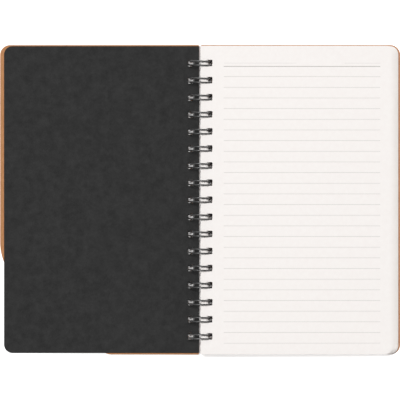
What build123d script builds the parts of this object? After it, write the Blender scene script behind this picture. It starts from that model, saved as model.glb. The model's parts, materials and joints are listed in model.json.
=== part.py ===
from build123d import *
import os
from math import asin, atan2, cos, degrees, hypot, radians, sin, sqrt

# An open twin-loop notebook, in millimetres. Its kraft front cover and black flyleaf
# are turned over to the left, and its page block lies on the kraft back cover to the
# right. One bent wire strings them all together.
#
# X runs to the right across the open book, Y runs up the page and Z runs up.
# The origin is on the table, below the middle of the binding.
# "Level" is a height above the ring's axis, square to the leaf that it belongs to.

os.makedirs("parts", exist_ok=True)

# Covers, of kraft board
cover_width = 148.4
cover_height = 230.6
cover_thickness = 0.8
cover_corner = 7.5

# The front cover's lower fore corner is cut away along a slanting line
cut_on_fore_edge = 64.2      # from the lower edge up to where the cut leaves the fore edge
cut_on_lower_edge = 79.0     # from the fore edge in to where the cut leaves the lower edge
cut_fore_bend = 42.0
cut_lower_bend = 12.0

# Flyleaf, of black card
flyleaf_width = 145.4
flyleaf_height = 228.7
flyleaf_rise = 0.1           # it was punched a little below its middle, so it sits higher
flyleaf_thickness = 0.4
flyleaf_corner = 6.3

# Page block, a stack of sheets that leans on the curve of the rings
page_width = 142.0
page_height = 229.5
page_drop = 0.35             # the sheets were punched above their middle, so they lie lower
page_corner = 6.0
block_thickness = 8.9
block_spine_bulge = 1.9      # how far the middle sheets are pushed out by the rings
block_middle_fan = 3.6       # how far the middle sheets reach beyond the top sheet
block_lower_fan = 5.5        # how far the lowest sheets reach beyond the top sheet
block_layers = 6

# Every leaf's two corners at the spine
spine_corner = 0.8

# Punched holes, one for each loop of the wire
hole_height = 4.9
hole_corner = 0.7

# Wire binding, one length of wire bent into twin loops
loop_count = 17
loop_pitch = 12.7
wire_diameter = 1.0
wire_spacing = 3.0           # between the two wires of one loop
ring_radius = 8.45           # to the centre of the wire
seam_angle = 35.0            # from the ring's lowest point towards the back cover
seam_opening = 27.0          # left open between a loop's tip and its roots
root_bend = 1.0

# Clearances
cover_spine_gap = 0.9        # from the ring's axis to the spine edges of the covers and flyleaf
page_spine_gap = 0.45        # from the ring's axis to the page block
hole_outer_gap = 0.1         # from the ring's outside to the far side of every hole
hole_inner_gap = 0.95        # from the ring's inside to the near side of every hole
flyleaf_hole_inner_gap = 0.8
lying_gap = 0.05             # between leaves that lie on each other
turning_gap = 0.3            # between the page block and what turns over it
block_gap = 0.1              # between the page block and the back cover

# Levels of the leaves
block_top = block_thickness / 2
block_bottom = -block_thickness / 2
back_cover_bottom = block_bottom - block_gap - cover_thickness
flyleaf_bottom = -(block_top + turning_gap + flyleaf_thickness)
front_cover_bottom = flyleaf_bottom - lying_gap - cover_thickness

# The rings stand on the table, and each cover slopes down from them to its fore edge
ring_axis_height = ring_radius + wire_diameter / 2


def slope_of(cover_bottom, reach):
    """Slope, in degrees, that brings the fore edge of a cover down to the table."""
    drop = -cover_bottom
    return degrees(asin(ring_axis_height / hypot(reach, drop)) - atan2(drop, reach))


left_slope = slope_of(front_cover_bottom, cover_spine_gap + cover_width)
right_slope = slope_of(back_cover_bottom, cover_spine_gap + cover_width)
ring_axis_point = (0, 0, ring_axis_height)
left_side = Plane(ring_axis_point).rotated((0, -left_slope, 0))
right_side = Plane(ring_axis_point).rotated((0, right_slope, 0))
print("turn of a leaf from side to side:", round(180 + left_slope + right_slope, 3), "degrees")


def ring_inside(level):
    """How far from its axis plane the inside of the ring is, at that level."""
    return sqrt((ring_radius - wire_diameter / 2) ** 2 - level ** 2)


# Near and far sides of the holes, measured from the ring's axis
hole_outer_edge = ring_radius + wire_diameter / 2 + hole_outer_gap
hole_inner_edge = ring_inside(front_cover_bottom) - hole_inner_gap
flyleaf_hole_inner_edge = ring_inside(flyleaf_bottom) - flyleaf_hole_inner_gap


def punch_holes(side, inner_edge):
    """Cut the row of holes through the current sketch, on the left (-1) or right (1)."""
    width = hole_outer_edge - inner_edge
    with Locations((side * (inner_edge + width / 2), 0)):
        with GridLocations(loop_pitch, loop_pitch, 1, loop_count):
            RectangleRounded(width, hole_height, hole_corner, mode=Mode.SUBTRACT)


def leaf_outline(spine, fore, height, fore_corner, rise=0):
    """Draw a leaf in the current sketch, from its spine edge to its fore edge."""
    top = height / 2 + rise
    foot = -height / 2 + rise
    with BuildLine() as outline:
        FilletPolyline(
            (spine, top), (fore, top), (fore, foot), (spine, foot),
            radius=[spine_corner, fore_corner, fore_corner, spine_corner], close=True,
        )
    make_face(outline.edges())


# ---- Front cover, turned over to the left ----
with BuildPart() as front_cover:
    with BuildSketch(left_side.offset(front_cover_bottom)):
        spine = -cover_spine_gap
        fore = spine - cover_width
        top = cover_height / 2
        with BuildLine():
            FilletPolyline(
                (spine, top),
                (fore, top),
                (fore, cut_on_fore_edge - top),
                (fore + cut_on_lower_edge, -top),
                (spine, -top),
                radius=[spine_corner, cover_corner, cut_fore_bend, cut_lower_bend, spine_corner],
                close=True,
            )
        make_face()
        punch_holes(-1, hole_inner_edge)
    extrude(amount=cover_thickness)
front_cover.part.label = "front_cover"

# ---- Flyleaf, lying on the front cover ----
with BuildPart() as flyleaf:
    with BuildSketch(left_side.offset(flyleaf_bottom)):
        fore = -(cover_spine_gap + flyleaf_width)
        leaf_outline(-cover_spine_gap, fore, flyleaf_height, flyleaf_corner, flyleaf_rise)
        punch_holes(-1, flyleaf_hole_inner_edge)
    extrude(amount=flyleaf_thickness)
flyleaf.part.label = "flyleaf"

# ---- Back cover, under the page block ----
with BuildPart() as back_cover:
    with BuildSketch(right_side.offset(back_cover_bottom)):
        leaf_outline(cover_spine_gap, cover_spine_gap + cover_width, cover_height, cover_corner)
        punch_holes(1, hole_inner_edge)
    extrude(amount=cover_thickness)
back_cover.part.label = "back_cover"

# ---- Page block, built up through the levels of its sheets ----
def spine_shift(level):
    """How far the sheet at this level is pushed out along the curve of the rings."""
    return block_spine_bulge * (1 - (level / block_top) ** 2)


def fore_shift(level):
    """How far the sheet at this level reaches beyond the top sheet at the fore edge."""
    depth = (block_top - level) / block_thickness
    middle_rise = 4 * block_middle_fan - 2 * block_lower_fan
    return block_lower_fan * depth + middle_rise * depth * (1 - depth)


layer_thickness = block_thickness / block_layers
block_levels = [block_bottom + step * layer_thickness for step in range(block_layers + 1)]
loop_centres = [loop_pitch * (index - (loop_count - 1) / 2) for index in range(loop_count)]
end_view = Plane(ring_axis_point, x_dir=right_side.x_dir, z_dir=(0, -1, 0))

with BuildPart() as page_block:
    for level in block_levels:
        with BuildSketch(right_side.offset(level)):
            sheet_spine = page_spine_gap + spine_shift(level)
            sheet_fore = page_spine_gap + page_width + fore_shift(level)
            leaf_outline(sheet_spine, sheet_fore, page_height, page_corner, -page_drop)
    loft(ruled=True)
    with BuildSketch(*[end_view.offset(y) for y in loop_centres]):
        with BuildLine():
            hole_outer = [(hole_outer_edge + spine_shift(level), level) for level in block_levels]
            hole_inner = [(hole_inner_edge + spine_shift(level), level) for level in block_levels]
            Polyline(*hole_outer, *reversed(hole_inner), close=True)
        make_face()
    extrude(amount=hole_height / 2, both=True, mode=Mode.SUBTRACT)
page_block.part.label = "page_block"


# ---- Wire binding ----
def on_ring(angle, y):
    """Point on the ring, with the angle from its lowest point towards the back cover."""
    turn = radians(angle)
    return Vector(ring_radius * sin(turn), y, ring_axis_height - ring_radius * cos(turn))


def along_ring(angle):
    """Direction of the wire at that angle."""
    return Vector(cos(radians(angle)), 0, sin(radians(angle)))


tip_angle = seam_angle + 360 - seam_opening
middle_angle = (seam_angle + tip_angle) / 2

with BuildPart() as wire_binding:
    with BuildLine() as wire_path:
        link_start = None
        root_step = along_ring(seam_angle) * -root_bend
        for y in loop_centres:
            near = y - wire_spacing / 2
            far = y + wire_spacing / 2
            link_end = on_ring(seam_angle, near) + root_step - Vector(0, root_bend, 0)
            if link_start:
                Line(link_start, link_end)
            TangentArc(link_end, on_ring(seam_angle, near), tangent=(0, 1, 0))
            ThreePointArc(
                on_ring(seam_angle, near), on_ring(middle_angle, near), on_ring(tip_angle, near)
            )
            TangentArc(
                on_ring(tip_angle, near), on_ring(tip_angle, far), tangent=along_ring(tip_angle)
            )
            ThreePointArc(
                on_ring(tip_angle, far), on_ring(middle_angle, far), on_ring(seam_angle, far)
            )
            link_start = on_ring(seam_angle, far) + root_step + Vector(0, root_bend, 0)
            TangentArc(on_ring(seam_angle, far), link_start, tangent=-along_ring(seam_angle))
    with BuildSketch(Plane(wire_path.line @ 0, z_dir=wire_path.line % 0)):
        Circle(wire_diameter / 2)
    sweep(path=wire_path.wires()[0])
wire_binding.part.label = "wire_binding"

export_step(front_cover.part, "parts/front_cover.step")
export_step(flyleaf.part, "parts/flyleaf.step")
export_step(back_cover.part, "parts/back_cover.step")
export_step(page_block.part, "parts/page_block.step")
export_step(wire_binding.part, "parts/wire_binding.step")
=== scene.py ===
import json
import random
from math import asin, atan2, cos, hypot, pi, radians, sin

import bmesh
import bpy
from mathutils import Matrix, Vector
from mathutils.geometry import delaunay_2d_cdt


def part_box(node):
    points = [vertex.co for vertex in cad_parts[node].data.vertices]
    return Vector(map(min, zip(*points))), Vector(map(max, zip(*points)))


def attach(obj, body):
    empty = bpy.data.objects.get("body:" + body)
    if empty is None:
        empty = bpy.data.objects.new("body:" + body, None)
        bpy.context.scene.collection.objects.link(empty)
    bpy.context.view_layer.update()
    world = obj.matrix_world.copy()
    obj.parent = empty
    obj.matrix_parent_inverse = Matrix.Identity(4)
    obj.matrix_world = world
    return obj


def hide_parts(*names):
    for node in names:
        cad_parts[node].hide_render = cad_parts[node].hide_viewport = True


# The looks of an open twin-loop notebook, in metres. Covers are the CAD model's own
# nodes with a new surface. The flyleaf is rebuilt with a lip beside each hole, the page
# block sheet by sheet, and the wire as one round tube.

MM = 0.001

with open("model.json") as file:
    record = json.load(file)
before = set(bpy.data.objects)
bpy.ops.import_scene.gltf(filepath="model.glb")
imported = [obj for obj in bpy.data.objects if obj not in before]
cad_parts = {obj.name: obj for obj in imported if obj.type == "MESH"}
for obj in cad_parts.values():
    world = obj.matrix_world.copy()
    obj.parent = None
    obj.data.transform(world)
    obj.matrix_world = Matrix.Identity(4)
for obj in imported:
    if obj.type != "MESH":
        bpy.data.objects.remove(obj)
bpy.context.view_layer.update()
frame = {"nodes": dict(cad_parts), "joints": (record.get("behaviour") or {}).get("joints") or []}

# ---- Sizes ----
wire_low, wire_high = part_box("wire_binding")
wire_radius = 0.5 * MM
wire_spacing = 3.0 * MM
wire_drop = 0.1 * MM         # the loops sit this much below the middle of their holes
wire_lean = 0.3 * MM         # and lean: lower still over the pages, higher over the covers
root_bend = 1.0 * MM
loop_count = 17
loop_pitch = 12.7 * MM
seam_angle = 35.0
seam_opening = 27.0
ring_radius = (wire_high.x - wire_low.x) / 2 - wire_radius
ring_axis_height = frame["joints"][0]["pos_m"][2]
loop_centres = [loop_pitch * (index - (loop_count - 1) / 2) for index in range(loop_count)]

cover_thickness = 0.8 * MM
cover_width = 148.4 * MM
block_thickness = 8.9 * MM
block_gap = 0.1 * MM
block_spine_bulge = 1.9 * MM
block_middle_fan = 3.6 * MM
block_lower_fan = 5.5 * MM
sheet_count = 64
sheet_share = 0.90           # of each sheet's room in the block, the rest is air
sheet_jitter = 0.10 * MM
page_width = 142.0 * MM
page_height = 229.5 * MM
page_drop = 0.35 * MM
page_corner = 6.0 * MM
spine_corner = 0.8 * MM
page_spine_gap = 0.45 * MM
hole_inner_edge = 4.26 * MM
hole_outer_edge = 9.05 * MM
hole_height = 4.9 * MM
hole_corner = 0.7 * MM
hole_margin = 0.1 * MM       # round the row of holes, to tell their walls from other edges

# Flyleaf, on the turned front cover
flyleaf_thickness = 0.4 * MM
flyleaf_width = 145.4 * MM
flyleaf_height = 228.7 * MM
flyleaf_rise = 0.1 * MM
flyleaf_corner = 6.3 * MM
flyleaf_hole_inner_edge = 5.26 * MM
cover_spine_gap = 0.9 * MM
turning_gap = 0.3 * MM
lying_gap = 0.05 * MM
flyleaf_bottom = -(block_thickness / 2 + turning_gap + flyleaf_thickness)
lip_reach = 1.0 * MM         # of the raised lip beside each hole in the flyleaf
lip_height = 0.18 * MM
lip_foot = 1.12 * MM         # from the hole's lower side up to the lip
lip_head = 0.84 * MM         # from the hole's upper side down to the lip
lip_taper = 0.5 * MM

# Ruling of the pages
line_pitch = 7.926 * MM
line_count = 26
first_line_y = 91.52 * MM
line_width = 0.25 * MM
header_y = 99.1 * MM
header_width = 0.40 * MM
upper_header_y = 101.6 * MM
upper_header_width = 0.16 * MM
line_from_x = 17.35 * MM
line_to_x = 133.9 * MM
upper_header_stretches = ((line_from_x, 71.5 * MM), (107.2 * MM, line_to_x))

# Fineness of the meshes
corner_segments = 8
hole_segments = 3
ring_segments = 60
bend_segments = 6
wire_sides = 12
same_place = 1e-6            # closer than this, in metres, two places are the same

# Places of the materials in a mesh. The edges of holes come right after its other edges, in a
# darker colour that is painted shade
line_ink_place = 1
header_ink_place = 2
page_edge_place = 3
card_edge_place = 1
# the lip's light grey is partly a painted highlight
lip_highlight_place = 3


def srgb(red, green, blue):
    """Linear colour of an sRGB colour given in 0 to 255."""
    shares = [value / 255 for value in (red, green, blue)]
    return tuple(s / 12.92 if s <= 0.04045 else ((s + 0.055) / 1.055) ** 2.4 for s in shares)


# ---- Surfaces ----
class Surface:
    """A material in the making: its nodes, its shader and the place on the object."""

    def __init__(self, name, colour, roughness, specular):
        self.material = bpy.data.materials.new(name)
        self.material.use_nodes = True
        self.tree = self.material.node_tree
        self.shader = self.tree.nodes["Principled BSDF"]
        self.shader.inputs["Base Color"].default_value = (*colour, 1)
        self.shader.inputs["Roughness"].default_value = roughness
        self.shader.inputs["Specular IOR Level"].default_value = specular
        self.place = self.add("ShaderNodeTexCoord").outputs["Object"]

    def add(self, kind, **settings):
        node = self.tree.nodes.new(kind)
        for key, value in settings.items():
            setattr(node, key, value)
        return node

    def link(self, source, target):
        self.tree.links.new(source, target)

    def noise(self, size, stretch=(1, 1, 1), detail=4.0, roughness=0.55):
        """Grey noise whose features are about that size in metres, drawn out by stretch."""
        mapping = self.add("ShaderNodeMapping")
        mapping.inputs["Scale"].default_value = [1 / (size * s) for s in stretch]
        self.link(self.place, mapping.inputs["Vector"])
        noise = self.add("ShaderNodeTexNoise")
        noise.inputs["Scale"].default_value = 1.0
        noise.inputs["Detail"].default_value = detail
        noise.inputs["Roughness"].default_value = roughness
        self.link(mapping.outputs["Vector"], noise.inputs["Vector"])
        return noise.outputs["Fac"]

    def ramp(self, factor, *stops):
        """Colour along a ramp of (position, colour) stops."""
        ramp = self.add("ShaderNodeValToRGB")
        elements = ramp.color_ramp.elements
        while len(elements) < len(stops):
            elements.new(0.5)
        for element, (position, colour) in zip(elements, stops):
            element.position = position
            element.color = (*colour, 1)
        self.link(factor, ramp.inputs["Fac"])
        return ramp.outputs["Color"]

    def mix(self, factor, first, second):
        """Colour between first and second, each a socket or a plain colour."""
        mix = self.add("ShaderNodeMix", data_type="RGBA")
        # The node has sockets for every kind of data, and these are the ones for colour
        factor_input, first_input, second_input, result_output = 0, 6, 7, 2
        for number, value in ((factor_input, factor), (first_input, first), (second_input, second)):
            socket = mix.inputs[number]
            if isinstance(value, (int, float)):
                socket.default_value = value
            elif isinstance(value, tuple):
                socket.default_value = (*value, 1)
            else:
                self.link(value, socket)
        return mix.outputs[result_output]

    def falloff(self, value, inner, outer):
        """1 where the size of value is below inner, falling to 0 at outer."""
        size = self.maths("ABSOLUTE", value, 0.0)
        spread = self.add("ShaderNodeMapRange")
        spread.inputs["From Min"].default_value = inner
        spread.inputs["From Max"].default_value = outer
        spread.inputs["To Min"].default_value = 1.0
        spread.inputs["To Max"].default_value = 0.0
        self.link(size, spread.inputs["Value"])
        return spread.outputs["Result"]

    def maths(self, operation, first, second):
        """Result of a maths operation on two values, each a socket or a plain number."""
        node = self.add("ShaderNodeMath", operation=operation)
        for socket, value in zip(node.inputs, (first, second)):
            if isinstance(value, (int, float)):
                socket.default_value = value
            else:
                self.link(value, socket)
        return node.outputs["Value"]

    def times(self, first, second):
        return self.maths("MULTIPLY", first, second)

    def colour(self, socket):
        self.link(socket, self.shader.inputs["Base Color"])

    def relief(self, height, depth, strength=1.0):
        """Bump of that depth in metres."""
        bump = self.add("ShaderNodeBump")
        bump.inputs["Distance"].default_value = depth
        bump.inputs["Strength"].default_value = strength
        self.link(height, bump.inputs["Height"])
        self.link(bump.outputs["Normal"], self.shader.inputs["Normal"])


def kraft_board():
    """Brown recycled board: cloudy pulp, long fibres and dark flecks."""
    board = Surface("kraft_board", srgb(182, 128, 86), 0.85, 0.25)
    clouds = board.ramp(
        board.noise(9 * MM, detail=3),
        (0.3, srgb(176, 122, 80)), (0.7, srgb(189, 135, 92)),
    )
    grain = board.noise(0.35 * MM, stretch=(1, 7, 1), detail=5)
    fibres = board.ramp(
        grain,
        (0.30, srgb(153, 101, 63)), (0.46, srgb(182, 128, 86)), (0.72, srgb(204, 153, 111)),
    )
    mixed = board.mix(0.45, clouds, fibres)
    dark_flecks = board.ramp(
        board.noise(0.8 * MM, stretch=(1, 2.2, 1), detail=1),
        (0.70, (0, 0, 0)), (0.78, (1, 1, 1)),
    )
    board.colour(board.mix(dark_flecks, mixed, srgb(134, 86, 52)))
    board.relief(grain, 0.02 * MM, 0.5)
    return board.material


def black_card():
    """Charcoal card with a soft mottle and a fine tooth."""
    card = Surface("black_card", srgb(46, 46, 46), 0.85, 0.15)
    mottle = card.ramp(
        card.noise(6 * MM, detail=6, roughness=0.72),
        (0.32, srgb(36, 36, 36)), (0.68, srgb(59, 59, 59)),
    )
    tooth = card.noise(0.3 * MM, stretch=(1, 3, 1), detail=3)
    fibres = card.ramp(tooth, (0.35, srgb(37, 37, 37)), (0.65, srgb(55, 55, 55)))
    card.colour(card.mix(0.45, mottle, fibres))
    card.relief(tooth, 0.02 * MM, 0.6)
    return card.material


def page_paper():
    """Warm white writing paper with a faint cloudiness."""
    paper = Surface("page_paper", srgb(249, 244, 241), 0.75, 0.25)
    clouds = paper.noise(3 * MM, detail=5, roughness=0.65)
    paper.colour(paper.ramp(clouds, (0.3, srgb(246, 241, 238)), (0.7, srgb(249, 245, 242))))
    paper.relief(paper.noise(0.25 * MM, detail=3), 0.01 * MM, 0.4)
    return paper.material


def page_edge(name, share):
    """Cut edges of the sheets: a little darker and rougher than their faces. A share below 1 dims
    the colour further as painted shade, as on the walls of the punched holes.
    """
    dark = srgb(234 * share, 226 * share, 216 * share)
    pale = srgb(250 * share, 244 * share, 237 * share)
    edge = Surface(name, pale, 0.9, 0.1)
    streaks = edge.noise(0.4 * MM, stretch=(1, 12, 0.4), detail=3)
    edge.colour(edge.ramp(streaks, (0.3, dark), (0.7, pale)))
    return edge.material


def card_edge(name, shade):
    """Cut or rubbed edge of the black card, where its grey core shows. Made darker it is painted
    shade on the walls of the holes; made lighter it is the grey core brightened by a painted
    highlight on the lips.
    """
    edge = Surface(name, srgb(*shade), 0.9, 0.2)
    darker = srgb(*[value * 0.8 for value in shade])
    edge.colour(edge.ramp(edge.noise(0.3 * MM, detail=3), (0.3, darker), (0.7, srgb(*shade))))
    return edge.material


def grey_ink(name, shade):
    """Pale ink of the ruling, a little uneven as print on uncoated paper is."""
    ink = Surface(name, srgb(*shade), 0.8, 0.2)
    pale = srgb(*[min(255, value + 12) for value in shade])
    ink.colour(ink.ramp(ink.noise(0.5 * MM, detail=2), (0.35, srgb(*shade)), (0.75, pale)))
    return ink.material


def coated_wire():
    """Black nylon coat on steel wire: satin, with a slight orange-peel."""
    wire = Surface("coated_wire", srgb(25, 25, 26), 0.42, 0.9)
    wire.shader.inputs["IOR"].default_value = 1.75
    patches = wire.noise(1.2 * MM, detail=3)
    wire.colour(wire.ramp(patches, (0.3, srgb(21, 21, 22)), (0.7, srgb(30, 30, 31))))
    wire.relief(wire.noise(0.5 * MM, detail=2), 0.01 * MM, 0.4)
    return wire.material


# ---- Meshes ----
def new_object(name, mesh):
    made = bpy.data.objects.new(name, mesh)
    bpy.context.scene.collection.objects.link(made)
    return made


def built_object(name, mesh, *materials):
    """Object made of a bmesh, which is used up, and of its materials in their places."""
    data = bpy.data.meshes.new(name)
    mesh.to_mesh(data)
    mesh.free()
    for material in materials:
        data.materials.append(material)
    return new_object(name, data)


def rounded_rectangle(low, high, corners, segments):
    """Points round a rectangle. corners are the radii at its left and its right end."""
    left, right = corners
    spots = (
        (low[0] + left, low[1] + left, left, pi),
        (high[0] - right, low[1] + right, right, 1.5 * pi),
        (high[0] - right, high[1] - right, right, 0),
        (low[0] + left, high[1] - left, left, 0.5 * pi),
    )
    points = []
    for centre_x, centre_y, radius, start in spots:
        for step in range(segments + 1):
            turn = start + step * pi / 2 / segments
            points.append(Vector((centre_x + radius * cos(turn), centre_y + radius * sin(turn))))
    return points


def ruling():
    """Outline and ink of each printed line."""
    whole = (line_from_x, line_to_x)
    rows = [first_line_y - row * line_pitch for row in range(line_count)]
    lines = [(y, line_width, whole, line_ink_place) for y in rows]
    lines.append((header_y, header_width, whole, header_ink_place))
    for stretch in upper_header_stretches:
        lines.append((upper_header_y, upper_header_width, stretch, line_ink_place))
    marks = []
    for y, width, (start, end), ink in lines:
        low, high = y - width / 2, y + width / 2
        corners = ((start, low), (end, low), (end, high), (start, high))
        marks.append(([Vector(corner) for corner in corners], ink))
    return marks


def filled(outline, holes, marks):
    """Triangles inside an outline and outside its holes, with a number for each.

    marks are (loop, number) pairs: the number goes to the triangles inside that loop.
    """
    points = []
    loops = []
    for loop in [outline, *holes, *[loop for loop, number in marks]]:
        loops.append(list(range(len(points), len(points) + len(loop))))
        points += loop
    first_hole = 1
    first_mark = first_hole + len(holes)
    only_inside_loops = 1
    weld_distance = 1e-7
    places, _, triangles, _, _, loops_round = delaunay_2d_cdt(
        points, [], loops, only_inside_loops, weld_distance, True
    )
    faces, numbers = [], []
    for face, sources in zip(triangles, loops_round):
        if any(first_hole <= source < first_mark for source in sources):
            continue
        marked = [marks[source - first_mark][1] for source in sources if source >= first_mark]
        faces.append(face)
        numbers.append(max(marked, default=0))
    return places, faces, numbers


def hole_outlines(side, inner_edge):
    """Outline of each punched hole, on the left (-1) or right (1)."""
    low_x, high_x = sorted((side * inner_edge, side * hole_outer_edge))
    corners = (hole_corner, hole_corner)
    outlines = []
    for y in loop_centres:
        low = (low_x, y - hole_height / 2)
        high = (high_x, y + hole_height / 2)
        outlines.append(rounded_rectangle(low, high, corners, hole_segments))
    return outlines


def flat_page(printed):
    """One sheet seen flat, as filled() gives it."""
    low = (page_spine_gap, -page_height / 2 - page_drop)
    high = (page_spine_gap + page_width, page_height / 2 - page_drop)
    outline = rounded_rectangle(low, high, (spine_corner, page_corner), corner_segments)
    return filled(outline, hole_outlines(1, hole_inner_edge), ruling() if printed else [])


def within_holes(place):
    """Whether a place on a flat leaf is in the row of punched holes."""
    along_row = abs(place.y) < loop_centres[-1] + hole_height
    nearest, farthest = hole_inner_edge - hole_margin, hole_outer_edge + hole_margin
    return along_row and nearest < abs(place.x) < farthest


def add_leaf(mesh, flat, matrix, spot_of, marks_above, marks_below, edge_place):
    """Add one leaf to the mesh, with its marks on the upper face, the lower face or both.

    spot_of(place, side) gives a point of its lower (0) or upper (1) face. The walls of
    its holes take the material right after the one of its edges, which is darker there as painted
    shade.
    """
    places, faces, numbers = flat
    lower = [mesh.verts.new(matrix @ spot_of(place, 0)) for place in places]
    upper = [mesh.verts.new(matrix @ spot_of(place, 1)) for place in places]
    edges = set()
    for face, number in zip(faces, numbers):
        top = mesh.faces.new([upper[corner] for corner in face])
        top.material_index = number if marks_above else 0
        bottom = mesh.faces.new([lower[corner] for corner in reversed(face)])
        bottom.material_index = number if marks_below else 0
        edges.update(zip(face, face[1:] + face[:1]))
    for start, end in sorted(edges):
        if (end, start) not in edges:
            wall = mesh.faces.new([lower[start], lower[end], upper[end], upper[start]])
            # walls in the row of holes take the next material, darkened as painted shade
            wall.material_index = edge_place + within_holes(places[start])


def spine_shift(level):
    """How far the sheet at this level is pushed out along the curve of the rings."""
    return block_spine_bulge * (1 - (2 * level / block_thickness) ** 2)


def fore_shift(level):
    """How far the sheet at this level reaches beyond the top sheet at the fore edge."""
    depth = (block_thickness / 2 - level) / block_thickness
    middle_rise = 4 * block_middle_fan - 2 * block_lower_fan
    return block_lower_fan * depth + middle_rise * depth * (1 - depth)


def slope_of(drop, reach):
    """Slope that brings a cover's fore edge down to the table."""
    return asin(ring_axis_height / hypot(reach, drop)) - atan2(drop, reach)


def right_side():
    """Matrix of the right-hand leaves, which slope from the rings down to the table."""
    drop = block_thickness / 2 + block_gap + cover_thickness
    slope = slope_of(drop, cover_spine_gap + cover_width)
    return Matrix.Translation((0, 0, ring_axis_height)) @ Matrix.Rotation(slope, 4, "Y")


def left_side():
    """Matrix of the leaves turned over to the left."""
    drop = -flyleaf_bottom + lying_gap + cover_thickness
    slope = slope_of(drop, cover_spine_gap + cover_width)
    return Matrix.Translation((0, 0, ring_axis_height)) @ Matrix.Rotation(-slope, 4, "Y")


def page_stack():
    """Every sheet of the page block, with the ruling on the outermost two."""
    printed = flat_page(True)
    plain = flat_page(False)
    room = block_thickness / sheet_count
    thickness = room * sheet_share
    matrix = right_side()
    dice = random.Random(4)
    mesh = bmesh.new()
    for index in range(sheet_count):
        lowest = index == 0
        topmost = index == sheet_count - 1
        outermost = lowest or topmost
        level = -block_thickness / 2 + index * room
        if topmost:
            level = block_thickness / 2 - thickness
        slip = [0 if outermost else dice.uniform(-sheet_jitter, sheet_jitter) for _ in range(2)]
        at_spine = spine_shift(level + thickness / 2)
        at_fore = fore_shift(level + thickness / 2)

        def spot_of(place, side):
            share = (place.x - hole_outer_edge) / (page_spine_gap + page_width - hole_outer_edge)
            shift = at_spine + (at_fore - at_spine) * max(share, 0)
            return Vector((place.x + shift + slip[0], place.y + slip[1], level + side * thickness))

        page = printed if outermost else plain
        add_leaf(mesh, page, matrix, spot_of, topmost, lowest, page_edge_place)
    # The second edge material, at 0.62, darkens the walls of the punched holes as painted shade
    return built_object(
        "page_stack", mesh, page_paper(),
        grey_ink("line_ink", (196, 192, 188)), grey_ink("header_ink", (168, 164, 160)),
        page_edge("page_edge", 1.0), page_edge("page_hole_painted_shade", 0.62),
    )


def lips():
    """Outline of the raised lip beside each hole in the flyleaf, coloured a light grey that is the
    card's core brightened by a painted highlight.
    """
    inner = -flyleaf_hole_inner_edge
    outer = inner + lip_reach
    marks = []
    for y in loop_centres:
        low = y - hole_height / 2 + lip_foot
        high = y + hole_height / 2 - lip_head
        corners = (
            (inner, low), (outer, low + lip_taper), (outer, high - lip_taper), (inner, high),
        )
        marks.append(([Vector(corner) for corner in corners], lip_highlight_place))
    return marks


def flyleaf_card():
    """The black flyleaf, with a lip pressed up beside each punched hole."""
    top = flyleaf_height / 2 + flyleaf_rise
    foot = -flyleaf_height / 2 + flyleaf_rise
    outline = rounded_rectangle(
        (-cover_spine_gap - flyleaf_width, foot), (-cover_spine_gap, top),
        (flyleaf_corner, spine_corner), corner_segments,
    )
    flat = filled(outline, hole_outlines(-1, flyleaf_hole_inner_edge), lips())

    def spot_of(place, side):
        beside_hole = abs(place.x + flyleaf_hole_inner_edge) < same_place
        within_lip = min(abs(place.y - y) for y in loop_centres) < hole_height / 2 - hole_corner
        lift = lip_height if side and beside_hole and within_lip else 0
        return Vector((place.x, place.y, flyleaf_bottom + side * flyleaf_thickness + lift))

    mesh = bmesh.new()
    add_leaf(mesh, flat, left_side(), spot_of, True, False, card_edge_place)
    # The darkest edge colour, on the walls of the holes, is painted shade
    return built_object(
        "flyleaf_card", mesh, black_card(), card_edge("card_edge", (74, 74, 74)),
        # the lightest colour, on the lips, is the grey core brightened by a painted highlight
        card_edge("card_hole_painted_shade", (30, 30, 30)), card_edge("card_lip_painted_highlight", (112, 112, 112)),
    )


def on_ring(angle, y):
    """Point on the ring, with the angle from its lowest point towards the back cover."""
    turn = radians(angle)
    return Vector((ring_radius * sin(turn), y, ring_axis_height - ring_radius * cos(turn)))


def along_ring(angle):
    """Direction of the wire at that angle."""
    return Vector((cos(radians(angle)), 0, sin(radians(angle))))


def quarter(start, start_way, end_way, radius):
    """Points of a quarter turn from one way to another, without its first point."""
    centre = start + end_way * radius
    spots = []
    for step in range(1, bend_segments + 1):
        turn = step / bend_segments * pi / 2
        spots.append(centre - end_way * (radius * cos(turn)) + start_way * (radius * sin(turn)))
    return spots


def wire_route():
    """Points along the whole wire, from the first loop's root to the last one's."""
    tip_angle = seam_angle + 360 - seam_opening
    span = tip_angle - seam_angle
    angles = [seam_angle + span * step / ring_segments for step in range(ring_segments + 1)]
    up_page = Vector((0, 1, 0))
    root_way = -along_ring(seam_angle)
    tip_way = along_ring(tip_angle)
    route = []
    for y in loop_centres:
        near = y - wire_spacing / 2
        far = y + wire_spacing / 2
        link_end = on_ring(seam_angle, near) + root_way * root_bend - up_page * root_bend
        route.append(link_end)
        route += quarter(link_end, up_page, -root_way, root_bend)
        route += [on_ring(angle, near) for angle in angles[1:]]
        tip = on_ring(tip_angle, near)
        route += quarter(tip, tip_way, up_page, wire_spacing / 2)
        apex = route[-1]
        route += quarter(apex, up_page, -tip_way, wire_spacing / 2)
        route += [on_ring(angle, far) for angle in reversed(angles[:-1])]
        route += quarter(route[-1], root_way, up_page, root_bend)
    return [place - up_page * (wire_drop + wire_lean * place.x / ring_radius) for place in route]


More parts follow.
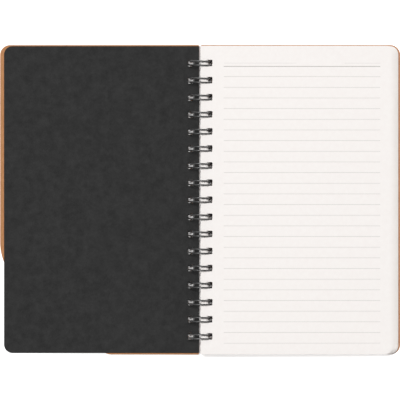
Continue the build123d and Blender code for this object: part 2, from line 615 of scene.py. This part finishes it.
def tube(name, route, material):
    """Closed round tube of the wire's thickness along a route of points."""
    ways = []
    for index in range(len(route)):
        before = route[max(index - 1, 0)]
        after = route[min(index + 1, len(route) - 1)]
        ways.append((after - before).normalized())
    mesh = bmesh.new()
    across = ways[0].orthogonal().normalized()
    rings = []
    for index, (place, way) in enumerate(zip(route, ways)):
        if index:
            across = ways[index - 1].rotation_difference(way) @ across
        across = (across - way * across.dot(way)).normalized()
        beside = way.cross(across)
        ring = []
        for side in range(wire_sides):
            turn = 2 * pi * side / wire_sides
            outwards = across * cos(turn) + beside * sin(turn)
            ring.append(mesh.verts.new(place + outwards * wire_radius))
        rings.append(ring)
    for first, second in zip(rings, rings[1:]):
        for side in range(wire_sides):
            following = (side + 1) % wire_sides
            face = mesh.faces.new([first[side], first[following], second[following], second[side]])
            face.smooth = True
    mesh.faces.new(list(reversed(rings[0])))
    mesh.faces.new(rings[-1])
    return built_object(name, mesh, material)


# ---- Build ----
def dress(node, material):
    """Give a CAD node its new surface."""
    slots = frame["nodes"][node].data.materials
    slots.clear()
    slots.append(material)


def build_notebook():
    board = kraft_board()
    dress("front_cover", board)
    dress("back_cover", board)

    flyleaf = flyleaf_card()
    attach(flyleaf, "flyleaf")
    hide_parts("flyleaf")

    pages = page_stack()
    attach(pages, "pages")
    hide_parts("page_block")

    wire = tube("twin_loop_wire", wire_route(), coated_wire())
    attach(wire, "back")
    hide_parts("wire_binding")


def build_floor():
    """Plain pale floor that glows white to the camera and in reflections.

    The glow fades out near the rings, so that the floor below them stays in its shadow.
    """
    reach = 6.0
    glow_strength = 0.6
    unlit_across = (10 * MM, 25 * MM)        # no glow up to the first, full glow from the second
    unlit_along = (114 * MM, 116 * MM)
    data = bpy.data.meshes.new("floor")
    corners = [(-reach, -reach, 0), (reach, -reach, 0), (reach, reach, 0), (-reach, reach, 0)]
    data.from_pydata(corners, [], [(0, 1, 2, 3)])
    floor = new_object("floor", data)
    surface = Surface("floor_white", srgb(235, 235, 235), 1.0, 0.0)
    split = surface.add("ShaderNodeSeparateXYZ")
    surface.link(surface.place, split.inputs["Vector"])
    across, along = split.outputs["X"], split.outputs["Y"]
    near_rings = surface.times(
        surface.falloff(across, *unlit_across), surface.falloff(along, *unlit_along)
    )
    clear = surface.maths("SUBTRACT", 1.0, near_rings)
    path = surface.add("ShaderNodeLightPath")
    seen = surface.maths("MAXIMUM", path.outputs["Is Camera Ray"], path.outputs["Is Glossy Ray"])
    glow = surface.times(surface.times(seen, clear), glow_strength)
    surface.shader.inputs["Emission Color"].default_value = (1, 1, 1, 1)
    surface.link(glow, surface.shader.inputs["Emission Strength"])
    data.materials.append(surface.material)


def add_lamp(name, place, size, energy):
    """Soft rectangular lamp that points at the middle of the book."""
    lamp = bpy.data.lights.new(name, "AREA")
    lamp.shape = "RECTANGLE"
    lamp.size, lamp.size_y = size
    lamp.energy = energy
    holder = bpy.data.objects.new(name, lamp)
    holder.location = place
    holder.rotation_mode = "QUATERNION"
    holder.rotation_quaternion = (-holder.location).to_track_quat("-Z", "Y")
    bpy.context.scene.collection.objects.link(holder)


def build_light():
    world = bpy.data.worlds.new("studio")
    bpy.context.scene.world = world
    world.use_nodes = True
    background = world.node_tree.nodes["Background"]
    background.inputs["Color"].default_value = (1, 1, 1, 1)
    background.inputs["Strength"].default_value = 0.26
    add_lamp("key", place=(-0.4, 0.68, 3.8), size=(1.2, 0.15), energy=107)
    add_lamp("side", place=(-1.6, 0.2, 3.6), size=(1.0, 4.0), energy=10)


def build_camera():
    """Long lens straight above, with the open book across the whole picture."""
    shown_width = 298.11 * MM
    centre_x = -0.09 * MM
    centre_y = -0.19 * MM
    shown_level = 2.0 * MM
    lens = bpy.data.cameras.new("camera")
    lens.lens = 500
    lens.clip_end = 20.0
    camera = bpy.data.objects.new("camera", lens)
    distance = shown_width * lens.lens / lens.sensor_width
    camera.location = (centre_x, centre_y, shown_level + distance)
    bpy.context.scene.collection.objects.link(camera)
    bpy.context.scene.camera = camera


build_notebook()
build_floor()
build_light()
build_camera()
bpy.context.scene.view_settings.view_transform = "Standard"

bpy.context.view_layer.update()
